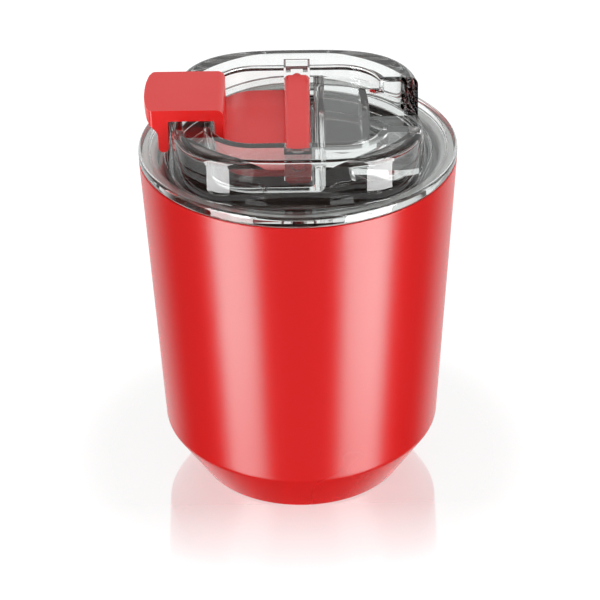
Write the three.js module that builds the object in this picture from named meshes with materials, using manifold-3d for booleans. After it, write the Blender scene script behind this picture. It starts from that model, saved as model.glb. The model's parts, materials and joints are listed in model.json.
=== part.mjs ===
// Vacuum-insulated steel tumbler with a clear press-in drinking lid and a flip lever.
// Millimetres, +Z up. The origin is the centre of the face the cup stands on.
// The lever's hinge runs along Y, and its finger tab points to -X.

import * as THREE from "three";
import { mergeVertices } from "three/addons/utils/BufferGeometryUtils.js";
import Module from "manifold-3d";

const wasm = await Module();
wasm.setup();

// Cup: driving sizes.
const RIM_RADIUS = 45; // outside of the shell at the rim
const RIM_HEIGHT = 100.8; // top of the steel rim
const BASE_RADIUS = 30.3; // outside of the shell where it meets the table
const SHOULDER_RADIUS = 40.2; // outside of the shell at the soft ridge above the base
const SHOULDER_HEIGHT = 15.4;
const SHELL_WALL = 0.8;
const LINER_WALL = 0.7;
const RIM_WIDTH = 5.4; // from the shell's outside to the liner's inside
const NECK_DEPTH = 9.5; // straight part of the liner that the gasket seals on
const VACUUM_GAP = 3.6; // between shell and liner at the shoulder
const FLOOR_HEIGHT = 7.6; // inside floor of the cup
const FOOT_WIDTH = 3.1; // ring that the cup stands on
const FOIL_WALL = 0.3;
const FOIL_START = 12; // above the cup's inside floor
const FOIL_END = 2; // below the neck
const DIMPLE_RISE = 1.2;
const DIMPLE_SLOPE = 1.5; // width of the dimple's sloping side
const PUMPING_HOLE_RADIUS = 0.6;
const BASE_OVERLAP = 1.2; // of the bottom plate over the foot ring
const SEAL_DEPTH = 0.9;
const GETTER_HEIGHT = 2;
const GETTER_X = 14;
const GETTER_RADIUS = 5;
const DIMPLE_RADIUS = 5;

// Lid: driving sizes.
const FLANGE_THICKNESS = 2.8;
const FLANGE_WIDTH = 3; // from its outer edge to the gutter
const GUTTER_DEPTH = 1.4;
const LID_WALL = 2;
const UNDERSIDE_STEP = 0.2; // from the flange's underside down to the lid's
const POCKET_WALL = 1.5; // floor of the pocket under the lever
const POCKET_DROP = 1; // pocket floor below the flange's top
const POCKET_CORNER_RADIUS = 1.6; // between the pocket's floor and the divider
const SKIRT_DEPTH = 8.8; // how far the skirt reaches into the cup
const SKIRT_WALL = 2.4;
const SEAL_SPACE = 2; // between skirt and liner
const GROOVE_RISE = 2.2; // gasket's groove above the skirt's lower edge
const GROOVE_WIDTH = 4.4;
const GROOVE_DEPTH = 0.8;
const GASKET_REACH = 0.5; // gasket's body beyond the skirt, between its fins
const FIN_ROOT = 1.1; // height of a fin where it leaves the gasket's body
const FIN_TIP = 0.4;
const RING_HEIGHT = 12.2; // top of the raised ring above the flange
const RING_MARGIN_X = 6.7; // from the gutter's outer edge to the ring's sides
const RING_MARGIN_Y = 5.7;
const RING_WIDTH_X = 11.3;
const RING_WIDTH_Y = 12.6;
const RING_EDGE_RADIUS = 2.4;
const RING_SQUARENESS = 3.2; // exponent of the ring's outline
const WELL_CORNER_RADIUS = 12;
const DIVIDER_X = 4.7; // left face of the wall between pocket and platform
const DIVIDER_WALL = 2.8;
const DIVIDER_DROP = 3.1; // below the ring's top
const PLATFORM_DROP = 3.6; // below the ring's top
const RECESS_X = 20.3; // where the platform ends and the tab's recess starts
const RECESS_HALF_WIDTH = 15.3;
const RECESS_BOW = 0.8;
const DRINK_HOLE_HALF_WIDTH = 2;
const DRINK_HOLE_HALF_LENGTH = 7;
const VENT_X = -12;
const VENT_RADIUS = 1.5;
const MOUTH_WIDENING = 1.4; // of the trunnion slots' mouth, on each side
const MOUTH_STEP = 2; // how much longer the mouth is than its slot

// Lever: driving sizes.
const HINGE_DROP = 4.6; // hinge axis below the ring's top
const TRUNNION_RADIUS = 1.5;
const TRUNNION_LENGTH = 2.3;
const BAR_HALF_WIDTH = 3.6;
const BAR_ABOVE_HINGE = 2;
const BAR_FLOOR_GAP = 0.9; // under the bar, so that its lower edge can swing past the pocket floor
const BAR_EDGE_RADIUS = 1.4;
const PLATE_THICKNESS = 3;
const PLATE_BELOW_HINGE = 2.5; // top of the plate below the axis
const TAB_THICKNESS = 3.3;
const TAB_HALF_WIDTH = 12.4;
const TAB_OVERHANG = 7.4; // beyond the ring's outside
const TAB_EDGE_BULGE = 1.6;
const TAB_CORNER_RADIUS = 2.2;
const LEG_WALL = 2.6;
const LEG_EDGE_RADIUS = 2.2; // between the tab's top and the leg
const HOOK_WALL = 2.9;
const HOOK_REACH = 9.5; // how far the hook reaches below the tab
const STOPPER_PLUG_GAP = 0.5; // between plug and drinking hole
const STOPPER_PLUG_REACH = 0.7; // below the ring's wall
const STOPPER_COLLAR = 1.2; // beyond the plug
const STOPPER_COLLAR_GAP = 0.2; // between collar and ring top
const STOPPER_STEM_HALF = 1.2;
const STOPPER_STEM_SHORTER = 1.5; // than the drinking hole, at each end of its socket
const STOPPER_SOCKET_DEPTH = 1.7;
const PAD_RADIUS = 3.8;
const PAD_TAPER = 1.2;
const PAD_STEM_RADIUS = 1.5;
const PAD_SOCKET_DEPTH = 1.5;

// Clearances.
const JOINT_GAP = 0.3; // between pieces that are welded, glued or pressed together
const HINGE_GAP = 0.25;
const PLATE_END_GAP = 1.1; // between the plate's end and the well's wall, so that it can swing
const PLATE_SIDE_GAP = 0.6;
const BAR_END_GAP = 0.5; // between the bar's ends and the well's wall
const TAB_GAP = 0.9; // between ring top and tab
const HOOK_GAP = 0.4; // between ring side and hook

// Facets.
const TURNS = 64;
const SMALL_TURNS = 24; // round pieces under 15 mm across
const ARC_STEPS = 4;
const SKIN = 0.5; // how far a cutter runs past the face it opens

// Worked-out cup sizes.
const NECK_RADIUS = RIM_RADIUS - RIM_WIDTH;
const NECK_BOTTOM = RIM_HEIGHT - NECK_DEPTH;
const LINER_FOOT_RADIUS = SHOULDER_RADIUS - SHELL_WALL - VACUUM_GAP - LINER_WALL;
const FOOT_INNER_RADIUS = BASE_RADIUS - FOOT_WIDTH;

// Worked-out lid heights and outlines.
const FLANGE_BOTTOM = RIM_HEIGHT + JOINT_GAP;
const FLANGE_TOP = FLANGE_BOTTOM + FLANGE_THICKNESS;
const GUTTER_RADIUS = RIM_RADIUS - FLANGE_WIDTH;
const GUTTER_FLOOR = FLANGE_TOP - GUTTER_DEPTH;
const LID_UNDERSIDE = FLANGE_BOTTOM - UNDERSIDE_STEP;
const POCKET_FLOOR = FLANGE_TOP - POCKET_DROP;
const POCKET_UNDERSIDE = POCKET_FLOOR - POCKET_WALL;
const SKIRT_RADIUS = NECK_RADIUS - SEAL_SPACE;
const SKIRT_INNER_RADIUS = SKIRT_RADIUS - SKIRT_WALL;
const SKIRT_BOTTOM = RIM_HEIGHT - SKIRT_DEPTH;
const GROOVE_LOW = SKIRT_BOTTOM + GROOVE_RISE;
const GROOVE_HIGH = GROOVE_LOW + GROOVE_WIDTH;
const RING_TOP = FLANGE_TOP + RING_HEIGHT;
const RING_HALF_X = GUTTER_RADIUS - RING_MARGIN_X;
const RING_HALF_Y = GUTTER_RADIUS - RING_MARGIN_Y;
const WELL_HALF_X = RING_HALF_X - RING_WIDTH_X;
const WELL_HALF_Y = RING_HALF_Y - RING_WIDTH_Y;
const DIVIDER_TOP = RING_TOP - DIVIDER_DROP;
const PLATFORM_TOP = RING_TOP - PLATFORM_DROP;
const DRINK_HOLE_X = -(RING_HALF_X + WELL_HALF_X) / 2;

// Worked-out lever places.
const HINGE_Z = RING_TOP - HINGE_DROP;
const BAR_HALF_LENGTH = WELL_HALF_Y - BAR_END_GAP;
const SLOT_REACH = BAR_HALF_LENGTH + TRUNNION_LENGTH + JOINT_GAP;
const MOUTH_REACH = SLOT_REACH + MOUTH_STEP;
const BAR_TOP = HINGE_Z + BAR_ABOVE_HINGE;
const BAR_BOTTOM = POCKET_FLOOR + BAR_FLOOR_GAP;
const PLATE_TOP = HINGE_Z - PLATE_BELOW_HINGE;
const PLATE_BOTTOM = PLATE_TOP - PLATE_THICKNESS;
const TAB_BOTTOM = RING_TOP + TAB_GAP;
const TAB_TOP = TAB_BOTTOM + TAB_THICKNESS;
const LEG_OUTER_X = -(WELL_HALF_X - PLATE_END_GAP);
const LEG_INNER_X = LEG_OUTER_X + LEG_WALL;
const HOOK_INNER_X = -(RING_HALF_X + HOOK_GAP);
const HOOK_OUTER_X = HOOK_INNER_X - HOOK_WALL;
const TAB_OUTER_X = -(RING_HALF_X + TAB_OVERHANG);

// ---- Shape helpers ----

// A three.js geometry as a solid that can be joined and cut.
function solid(geometry) {
  const bare = geometry.clone();
  bare.deleteAttribute("normal");
  bare.deleteAttribute("uv");
  const merged = mergeVertices(bare, 1e-4);
  const mesh = new wasm.Mesh({
    numProp: 3,
    vertProperties: merged.attributes.position.array,
    triVerts: new Uint32Array(merged.index.array),
  });
  return new wasm.Manifold(mesh);
}

// A solid as a named three.js mesh.
function piece(name, made, material) {
  const mesh = made.getMesh();
  const geometry = new THREE.BufferGeometry();
  geometry.setAttribute("position", new THREE.BufferAttribute(mesh.vertProperties, 3));
  geometry.setIndex(new THREE.BufferAttribute(mesh.triVerts, 1));
  geometry.computeVertexNormals();
  const result = new THREE.Mesh(geometry, material);
  result.name = name;
  return result;
}

// Turns a closed outline of [radius, height] points about Z, whichever way round it is listed.
function turned(outline, sides = TURNS) {
  const area = THREE.ShapeUtils.area(outline.map(([r, z]) => new THREE.Vector2(r, z)));
  const ordered = area > 0 ? outline : [...outline].reverse();
  const points = ordered.map(([r, z]) => new THREE.Vector2(r, z));
  points.push(points[0].clone());
  const geometry = new THREE.LatheGeometry(points, sides);
  geometry.rotateX(Math.PI / 2);
  return solid(geometry);
}

// Points on an arc in the radius-height plane, angles in degrees from the radius axis.
function arc(centreR, centreZ, radius, from, to, steps = ARC_STEPS) {
  return Array.from({ length: steps + 1 }, (_, i) => {
    const angle = THREE.MathUtils.degToRad(from + ((to - from) * i) / steps);
    return [centreR + radius * Math.cos(angle), centreZ + radius * Math.sin(angle)];
  });
}

// An upright prism on a plan outline.
function prism(shape, low, high) {
  const options = { depth: high - low, bevelEnabled: false, curveSegments: 2 * ARC_STEPS };
  const geometry = new THREE.ExtrudeGeometry(shape, options);
  geometry.translate(0, 0, low);
  return solid(geometry);
}

// An upright prism whose top and bottom edges are rounded.
function softPrism(shape, low, high, radius) {
  const geometry = new THREE.ExtrudeGeometry(shape, {
    depth: high - low - 2 * radius,
    bevelThickness: radius,
    bevelSize: radius,
    bevelOffset: -radius,
    bevelSegments: ARC_STEPS,
    curveSegments: 2 * ARC_STEPS,
  });
  geometry.translate(0, 0, low + radius);
  return solid(geometry);
}

// A prism along Y on an outline in the X-Z plane, centred on Y = 0.
function crossPrism(shape, halfLength) {
  const options = { depth: 2 * halfLength, bevelEnabled: false, curveSegments: ARC_STEPS };
  const geometry = new THREE.ExtrudeGeometry(shape, options);
  geometry.rotateX(Math.PI / 2);
  geometry.translate(0, halfLength, 0);
  return solid(geometry);
}

function block(lowX, highX, halfY, low, high) {
  const geometry = new THREE.BoxGeometry(highX - lowX, 2 * halfY, high - low);
  geometry.translate((lowX + highX) / 2, 0, (low + high) / 2);
  return solid(geometry);
}

function disc(x, radius, low, high, sides = SMALL_TURNS) {
  const geometry = new THREE.CylinderGeometry(radius, radius, high - low, sides);
  geometry.rotateX(Math.PI / 2);
  geometry.translate(x, 0, (low + high) / 2);
  return solid(geometry);
}

// A rounded rectangle centred on (x, y).
function roundedRectangle(halfX, halfY, radius, x = 0, y = 0) {
  const shape = new THREE.Shape();
  shape.absarc(x + halfX - radius, y + halfY - radius, radius, 0, Math.PI / 2);
  shape.absarc(x - halfX + radius, y + halfY - radius, radius, Math.PI / 2, Math.PI);
  shape.absarc(x - halfX + radius, y - halfY + radius, radius, Math.PI, 1.5 * Math.PI);
  shape.absarc(x + halfX - radius, y - halfY + radius, radius, 1.5 * Math.PI, 2 * Math.PI);
  shape.closePath();
  return shape;
}

// The raised ring's bulging four-sided outline.
function squircle(halfX, halfY) {
  const power = 2 / RING_SQUARENESS;
  const points = Array.from({ length: TURNS }, (_, i) => {
    const angle = (2 * Math.PI * i) / TURNS;
    const c = Math.cos(angle);
    const s = Math.sin(angle);
    const x = halfX * Math.sign(c) * Math.abs(c) ** power;
    const y = halfY * Math.sign(s) * Math.abs(s) ** power;
    return new THREE.Vector2(x, y);
  });
  return new THREE.Shape(points);
}

// The well's outline inside the ring, larger by `grow`.
function wellOutline(grow) {
  return roundedRectangle(WELL_HALF_X + grow, WELL_HALF_Y + grow, WELL_CORNER_RADIUS + grow);
}

// A slot-shaped outline with round ends, long along Y.
function slotOutline(x, halfWidth, halfLength) {
  return roundedRectangle(halfWidth, halfLength, halfWidth, x, 0);
}

// ---- Cup ----

// How far a wall of this thickness moves in and up along the slope of the base.
const BASE_SLOPE = Math.atan2(SHOULDER_HEIGHT, SHOULDER_RADIUS - BASE_RADIUS);

function outerShell() {
  const edge = 0.8; // rounding of the foot's outer edge
  const slopeShift = SHELL_WALL / Math.sin(BASE_SLOPE);
  const footSlopeRadius = BASE_RADIUS - slopeShift + SHELL_WALL / Math.tan(BASE_SLOPE);
  return turned([
    [FOOT_INNER_RADIUS, 0],
    [BASE_RADIUS - edge, 0],
    [BASE_RADIUS + edge / 2, edge / 2],
    [SHOULDER_RADIUS - edge, SHOULDER_HEIGHT - 1.6 * edge],
    [SHOULDER_RADIUS - edge / 4, SHOULDER_HEIGHT - edge / 2],
    [SHOULDER_RADIUS, SHOULDER_HEIGHT],
    [RIM_RADIUS, RIM_HEIGHT - edge / 4],
    [RIM_RADIUS - edge / 4, RIM_HEIGHT],
    [RIM_RADIUS - SHELL_WALL, RIM_HEIGHT],
    [SHOULDER_RADIUS - SHELL_WALL, SHOULDER_HEIGHT],
    [footSlopeRadius, SHELL_WALL],
    [FOOT_INNER_RADIUS, SHELL_WALL],
  ]);
}

// The liner's outline from its floor's centre up to the neck, moved out by `offset`.
function linerOutline(offset) {
  const corner = 10;
  const lean = Math.atan2(NECK_RADIUS - LINER_FOOT_RADIUS, NECK_BOTTOM - FLOOR_HEIGHT);
  const leanDegrees = THREE.MathUtils.radToDeg(lean);
  const centreR = LINER_FOOT_RADIUS - corner + corner * Math.tan(lean);
  return [
    [0, FLOOR_HEIGHT - offset],
    ...arc(centreR, FLOOR_HEIGHT + corner, corner + offset, -90, -leanDegrees),
    [NECK_RADIUS + offset, NECK_BOTTOM],
  ];
}

// Radius at height z of the liner's sloping wall, moved out by `offset`.
function linerRadius(z, offset) {
  const [foot, neck] = linerOutline(offset).slice(-2);
  return THREE.MathUtils.mapLinear(z, foot[1], neck[1], foot[0], neck[0]);
}

function innerLiner() {
  const lip = 1.2; // rounding where the neck turns out into the rim
  const rimOuter = RIM_RADIUS - SHELL_WALL - JOINT_GAP;
  const inside = [
    ...linerOutline(0),
    ...arc(NECK_RADIUS + lip, RIM_HEIGHT - lip, lip, 180, 90, 4),
    [rimOuter, RIM_HEIGHT],
  ];
  const outside = [
    ...linerOutline(LINER_WALL),
    ...arc(NECK_RADIUS + lip, RIM_HEIGHT - lip, lip - LINER_WALL, 180, 90, 3),
    [rimOuter, RIM_HEIGHT - LINER_WALL],
  ];
  return turned([...inside, ...outside.reverse()]);
}

// Reflective foil wrapped round the liner, inside the vacuum.
function heatShield() {
  const low = FLOOR_HEIGHT + FOIL_START;
  const high = NECK_BOTTOM - FOIL_END;
  const inner = LINER_WALL + 2 * JOINT_GAP;
  const outer = inner + FOIL_WALL;
  return turned([
    [linerRadius(low, inner), low],
    [linerRadius(low, outer), low],
    [linerRadius(high, outer), high],
    [linerRadius(high, inner), high],
  ]);
}

// Pressed bottom plate, with the dimple that the air is drawn out through.
function basePlate() {
  const low = SHELL_WALL + JOINT_GAP;
  const high = low + SHELL_WALL;
  const outer = FOOT_INNER_RADIUS + BASE_OVERLAP;
  const upperRadius = DIMPLE_RADIUS + SHELL_WALL / 2;
  return turned([
    [PUMPING_HOLE_RADIUS, low + DIMPLE_RISE],
    [DIMPLE_RADIUS - DIMPLE_SLOPE, low + DIMPLE_RISE],
    [DIMPLE_RADIUS, low],
    [outer, low],
    [outer, high],
    [upperRadius, high],
    [upperRadius - DIMPLE_SLOPE, high + DIMPLE_RISE],
    [PUMPING_HOLE_RADIUS, high + DIMPLE_RISE],
  ]);
}

// Bead of sealing glass under the dimple's hole.
function vacuumSeal() {
  const top = SHELL_WALL + DIMPLE_RISE;
  const radius = DIMPLE_RADIUS - DIMPLE_SLOPE - 2 * JOINT_GAP;
  const bulge = SEAL_DEPTH / 3;
  return turned([
    [0, top - SEAL_DEPTH],
    [radius - 3 * bulge, top - SEAL_DEPTH + bulge / 3],
    [radius, top - bulge],
    [radius, top],
    [0, top],
  ], SMALL_TURNS);
}

// Disc that covers the bottom plate inside the foot ring.
function baseCap() {
  const radius = FOOT_INNER_RADIUS - JOINT_GAP;
  const low = 0.1; // clear of the table
  const dish = 0.2;
  const high = SHELL_WALL;
  const flat = 3; // width of the cap's outer ring
  const relief = DIMPLE_RADIUS - DIMPLE_SLOPE - 0.1;
  return turned([
    [0, low + dish],
    [radius - flat - 1, low + dish],
    [radius - flat, low],
    [radius, low],
    [radius, high],
    [0, high],
  ]).subtract(disc(0, relief, high - dish, high + SKIN));
}

// Capsule of gas-absorbing metal, spot-welded under the liner.
function getter() {
  const high = FLOOR_HEIGHT - LINER_WALL - JOINT_GAP;
  const low = high - GETTER_HEIGHT;
  const chamfer = 0.5;
  const capsule = turned([
    [0, low],
    [GETTER_RADIUS - chamfer, low],
    [GETTER_RADIUS, low + chamfer],
    [GETTER_RADIUS, high],
    [0, high],
  ], SMALL_TURNS);
  return capsule.translate([GETTER_X, 0, 0]);
}

// ---- Lid ----

// Flange, gutter floor and the skirt that plugs the cup, in one turned shape.
function lidBase() {
  const edge = 0.5;
  return turned([
    [0, LID_UNDERSIDE],
    [SKIRT_INNER_RADIUS, LID_UNDERSIDE],
    [SKIRT_INNER_RADIUS, SKIRT_BOTTOM],
    [SKIRT_RADIUS - edge, SKIRT_BOTTOM],
    [SKIRT_RADIUS, SKIRT_BOTTOM + edge],
    [SKIRT_RADIUS, GROOVE_LOW],
    [SKIRT_RADIUS - GROOVE_DEPTH, GROOVE_LOW],
    [SKIRT_RADIUS - GROOVE_DEPTH, GROOVE_HIGH],
    [SKIRT_RADIUS, GROOVE_HIGH],
    [SKIRT_RADIUS, FLANGE_BOTTOM],
    [RIM_RADIUS - edge, FLANGE_BOTTOM],
    [RIM_RADIUS, FLANGE_BOTTOM + edge],
    [RIM_RADIUS, FLANGE_TOP - edge],
    [RIM_RADIUS - edge, FLANGE_TOP],
    [GUTTER_RADIUS + GUTTER_DEPTH / 2, FLANGE_TOP],
    [GUTTER_RADIUS, GUTTER_FLOOR + GUTTER_DEPTH / 2],
    [GUTTER_RADIUS - GUTTER_DEPTH / 2, GUTTER_FLOOR],
    [0, GUTTER_FLOOR],
  ]);
}

// The raised ring and everything inside it, still solid.
function ringBlock() {
  const low = LID_UNDERSIDE - RING_EDGE_RADIUS;
  const whole = softPrism(squircle(RING_HALF_X, RING_HALF_Y), low, RING_TOP, RING_EDGE_RADIUS);
  const below = block(-RIM_RADIUS, RIM_RADIUS, RIM_RADIUS, low - SKIN, LID_UNDERSIDE);
  return whole.subtract(below);
}

// The recess that the open tab drops into, larger by `grow` on the sides that have a wall.
function recessOutline(grow) {
  const half = RECESS_HALF_WIDTH + grow;
  const side = RECESS_X - RECESS_BOW - grow;
  const shape = new THREE.Shape();
  shape.moveTo(RIM_RADIUS, -half);
  shape.lineTo(RIM_RADIUS, half);
  shape.lineTo(side, half);
  shape.quadraticCurveTo(side + 2 * RECESS_BOW, 0, side, -half);
  shape.closePath();
  return shape;
}

// Bosses in the ring that hold the lever's trunnions.
function bearingBosses() {
  const wall = LID_WALL + TRUNNION_RADIUS + HINGE_GAP;
  return block(-wall, wall, MOUTH_REACH + LID_WALL, HINGE_Z - wall, RING_TOP);
}

// Side view of the space under the pocket and the platform, round the divider's lower corner.
function underWellProfile(low) {
  const wallX = DIVIDER_X + DIVIDER_WALL;
  const radius = POCKET_CORNER_RADIUS + POCKET_WALL;
  const shape = new THREE.Shape();
  shape.moveTo(-RIM_RADIUS, low);
  shape.lineTo(RIM_RADIUS, low);
  shape.lineTo(RIM_RADIUS, RING_TOP);
  shape.lineTo(wallX, RING_TOP);
  shape.lineTo(wallX, POCKET_UNDERSIDE + radius);
  shape.absarc(wallX - radius, POCKET_UNDERSIDE + radius, radius, 0, -Math.PI / 2, true);
  shape.lineTo(-RIM_RADIUS, POCKET_UNDERSIDE);
  shape.closePath();
  return shape;
}

// Side view of the pocket, rounded where its floor meets the divider.
function pocketProfile(high) {
  const radius = POCKET_CORNER_RADIUS;
  const shape = new THREE.Shape();
  shape.moveTo(-RIM_RADIUS, POCKET_FLOOR);
  shape.lineTo(DIVIDER_X - radius, POCKET_FLOOR);
  shape.absarc(DIVIDER_X - radius, POCKET_FLOOR + radius, radius, -Math.PI / 2, 0);
  shape.lineTo(DIVIDER_X, high);
  shape.lineTo(-RIM_RADIUS, high);
  shape.closePath();
  return shape;
}

// The space under the ring, the pocket and the platform, open to the cup.
function lidHollow() {
  const low = LID_UNDERSIDE - SKIN;
  const outline = squircle(RING_HALF_X - LID_WALL, RING_HALF_Y - LID_WALL);
  const channel = prism(outline, low, RING_TOP - LID_WALL)
    .intersect(disc(0, SKIRT_INNER_RADIUS, low - SKIN, RING_TOP, TURNS))
    .subtract(prism(wellOutline(LID_WALL), low - SKIN, RING_TOP));
  const underWell = prism(wellOutline(LID_WALL + SKIN), low, PLATFORM_TOP - LID_WALL)
    .intersect(crossPrism(underWellProfile(low), RIM_RADIUS));
  return channel
    .add(underWell)
    .subtract(prism(recessOutline(LID_WALL), low - SKIN, RING_TOP))
    .subtract(bearingBosses());
}

// The well inside the ring: pocket for the lever, divider wall and platform.
function lidWell() {
  const over = RING_TOP + SKIN;
  const platformX = DIVIDER_X + DIVIDER_WALL;
  const pocket = crossPrism(pocketProfile(over), RIM_RADIUS);
  const overDivider = block(DIVIDER_X - SKIN, platformX + SKIN, RIM_RADIUS, DIVIDER_TOP, over);
  const overPlatform = block(platformX, RIM_RADIUS, RIM_RADIUS, PLATFORM_TOP, over);
  return prism(wellOutline(0), POCKET_FLOOR, over)
    .intersect(pocket.add(overDivider).add(overPlatform));
}

// Slots that the trunnions are pushed down through, with a lead-in at the top.
function trunnionSlots() {
  const radius = TRUNNION_RADIUS + HINGE_GAP;
  const mouth = radius + MOUTH_WIDENING;
  const bore = new THREE.CylinderGeometry(radius, radius, 2 * SLOT_REACH, SMALL_TURNS);
  bore.translate(0, 0, HINGE_Z);
  return solid(bore)
    .add(block(-radius, radius, SLOT_REACH, HINGE_Z, RING_TOP + SKIN))
    .add(block(-mouth, mouth, MOUTH_REACH, RING_TOP - LID_WALL, RING_TOP + SKIN));
}

function lidBody() {
  const hole = slotOutline(DRINK_HOLE_X, DRINK_HOLE_HALF_WIDTH, DRINK_HOLE_HALF_LENGTH);
  return lidBase()
    .add(ringBlock())
    .subtract(lidHollow())
    .subtract(lidWell())
    .subtract(prism(recessOutline(0), FLANGE_TOP, RING_TOP + SKIN))
    .subtract(trunnionSlots())
    .subtract(prism(hole, RING_TOP - LID_WALL - SKIN, RING_TOP + SKIN))
    .subtract(disc(VENT_X, VENT_RADIUS, LID_UNDERSIDE - SKIN, POCKET_FLOOR + SKIN));
}

// Silicone gasket with two fins that wipe the liner's neck.
function lidGasket() {
  const inner = SKIRT_RADIUS - GROOVE_DEPTH + JOINT_GAP;
  const body = SKIRT_RADIUS + GASKET_REACH;
  const fin = NECK_RADIUS - JOINT_GAP;
  const low = GROOVE_LOW + JOINT_GAP;
  const high = GROOVE_HIGH - JOINT_GAP;
  const pitch = (high - low) / 2;
  const finOutline = (z) => [
    [body, z],
    [fin, z + FIN_ROOT - FIN_TIP],
    [fin, z + FIN_ROOT],
    [body, z + FIN_ROOT],
  ];
  return turned([
    [inner, low],
    ...finOutline(low),
    ...finOutline(low + pitch),
    [body, high],
    [inner, high],
  ]);
}

// ---- Lever ----

// Side view of the tab, the leg down to the plate and the hook outside the ring.
function tabProfile() {
  const hookRadius = HOOK_WALL / 2;
  const hookCentreX = (HOOK_INNER_X + HOOK_OUTER_X) / 2;
  const hookEndZ = TAB_BOTTOM - HOOK_REACH + hookRadius;
  const bendZ = TAB_BOTTOM - HOOK_REACH / 2;
  const edgeZ = TAB_TOP - TAB_THICKNESS / 3;
  const topX = LEG_INNER_X - LEG_EDGE_RADIUS;
  const pullZ = TAB_BOTTOM - TAB_THICKNESS / 3;
  const bendPullZ = bendZ + HOOK_WALL;
  const shape = new THREE.Shape();
  shape.moveTo(LEG_INNER_X, PLATE_BOTTOM);
  shape.lineTo(LEG_INNER_X, TAB_TOP - LEG_EDGE_RADIUS);
  shape.absarc(topX, TAB_TOP - LEG_EDGE_RADIUS, LEG_EDGE_RADIUS, 0, Math.PI / 2);
  shape.lineTo(TAB_OUTER_X, TAB_TOP);
  shape.lineTo(TAB_OUTER_X, edgeZ);
  shape.bezierCurveTo(TAB_OUTER_X, pullZ, HOOK_OUTER_X, bendPullZ, HOOK_OUTER_X, bendZ);
  shape.absarc(hookCentreX, hookEndZ, hookRadius, Math.PI, 2 * Math.PI);
  shape.lineTo(HOOK_INNER_X, TAB_BOTTOM);
  shape.lineTo(LEG_OUTER_X, TAB_BOTTOM);
  shape.lineTo(LEG_OUTER_X, PLATE_BOTTOM);
  shape.closePath();
  return shape;
}

// Plan view of the tab, with its outer edge bulging between two rounded corners.
function tabOutline() {
  const edge = TAB_OUTER_X + TAB_EDGE_BULGE;
  const half = TAB_HALF_WIDTH;
  const turn = half - TAB_CORNER_RADIUS;
  const shape = new THREE.Shape();
  shape.moveTo(LEG_INNER_X, -half);
  shape.lineTo(LEG_INNER_X, half);
  shape.lineTo(edge + TAB_CORNER_RADIUS, half);
  shape.quadraticCurveTo(edge, half, edge, turn);
  shape.quadraticCurveTo(edge - 2 * TAB_EDGE_BULGE, 0, edge, -turn);
  shape.quadraticCurveTo(edge, -half, edge + TAB_CORNER_RADIUS, -half);
  shape.closePath();
  return shape;
}

function barProfile() {
  const halfHeight = (BAR_TOP - BAR_BOTTOM) / 2;
  return roundedRectangle(BAR_HALF_WIDTH, halfHeight, BAR_EDGE_RADIUS, 0, BAR_BOTTOM + halfHeight);
}

function flipLever() {
  const plateOutline = roundedRectangle(
    WELL_HALF_X - PLATE_END_GAP, WELL_HALF_Y - PLATE_SIDE_GAP, WELL_CORNER_RADIUS - PLATE_SIDE_GAP,
  );
  const plate = prism(plateOutline, PLATE_BOTTOM, PLATE_TOP)
    .intersect(block(-RIM_RADIUS, 0, RIM_RADIUS, PLATE_BOTTOM - SKIN, PLATE_TOP + SKIN));
  const tab = crossPrism(tabProfile(), TAB_HALF_WIDTH + SKIN)
    .intersect(prism(tabOutline(), PLATE_BOTTOM - SKIN, TAB_TOP + SKIN));
  const reach = BAR_HALF_LENGTH + TRUNNION_LENGTH;
  const trunnions = new THREE.CylinderGeometry(
    TRUNNION_RADIUS, TRUNNION_RADIUS, 2 * reach, SMALL_TURNS,
  );
  trunnions.translate(0, 0, HINGE_Z);
  const socketHalf = STOPPER_STEM_HALF + JOINT_GAP;
  const socketLength = DRINK_HOLE_HALF_LENGTH - STOPPER_STEM_SHORTER;
  const socket = slotOutline(DRINK_HOLE_X, socketHalf, socketLength);
  return crossPrism(barProfile(), BAR_HALF_LENGTH)
    .add(solid(trunnions))
    .add(plate)
    .add(tab)
    .subtract(prism(socket, TAB_BOTTOM - SKIN, TAB_BOTTOM + STOPPER_SOCKET_DEPTH))
    .subtract(disc(VENT_X, PAD_STEM_RADIUS + JOINT_GAP, PLATE_BOTTOM - SKIN,
      PLATE_BOTTOM + PAD_SOCKET_DEPTH));
}

// Silicone stopper under the tab that closes the drinking hole.
function drinkStopper() {
  const collarTop = TAB_BOTTOM - JOINT_GAP;
  const collarBottom = RING_TOP + STOPPER_COLLAR_GAP;
  const plugHalf = DRINK_HOLE_HALF_WIDTH - STOPPER_PLUG_GAP;
  const plugLength = DRINK_HOLE_HALF_LENGTH - STOPPER_PLUG_GAP;
  const plug = slotOutline(DRINK_HOLE_X, plugHalf, plugLength);
  const collar = slotOutline(
    DRINK_HOLE_X, plugHalf + STOPPER_COLLAR, plugLength + STOPPER_COLLAR,
  );
  const stemLength = DRINK_HOLE_HALF_LENGTH - STOPPER_STEM_SHORTER - JOINT_GAP;
  const stem = slotOutline(DRINK_HOLE_X, STOPPER_STEM_HALF, stemLength);
  return prism(plug, RING_TOP - LID_WALL - STOPPER_PLUG_REACH, collarTop)
    .add(prism(collar, collarBottom, collarTop))
    .add(prism(stem, collarBottom, TAB_BOTTOM + STOPPER_SOCKET_DEPTH - JOINT_GAP));
}

// Silicone pad under the plate that closes the vent.
function ventPad() {
  const low = POCKET_FLOOR + JOINT_GAP;
  const high = PLATE_BOTTOM - JOINT_GAP;
  const taper = Math.min(PAD_TAPER, (high - low) / 2);
  const stemTop = PLATE_BOTTOM + PAD_SOCKET_DEPTH - JOINT_GAP;
  const profile = [
    [0, low],
    [PAD_RADIUS - taper, low],
    [PAD_RADIUS, low + taper],
    [PAD_RADIUS, high],
    [PAD_STEM_RADIUS, high],
    [PAD_STEM_RADIUS, stemTop],
    [0, stemTop],
  ];
  return turned(profile, SMALL_TURNS).translate([VENT_X, 0, 0]);
}

// ---- Materials and assembly ----

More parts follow.
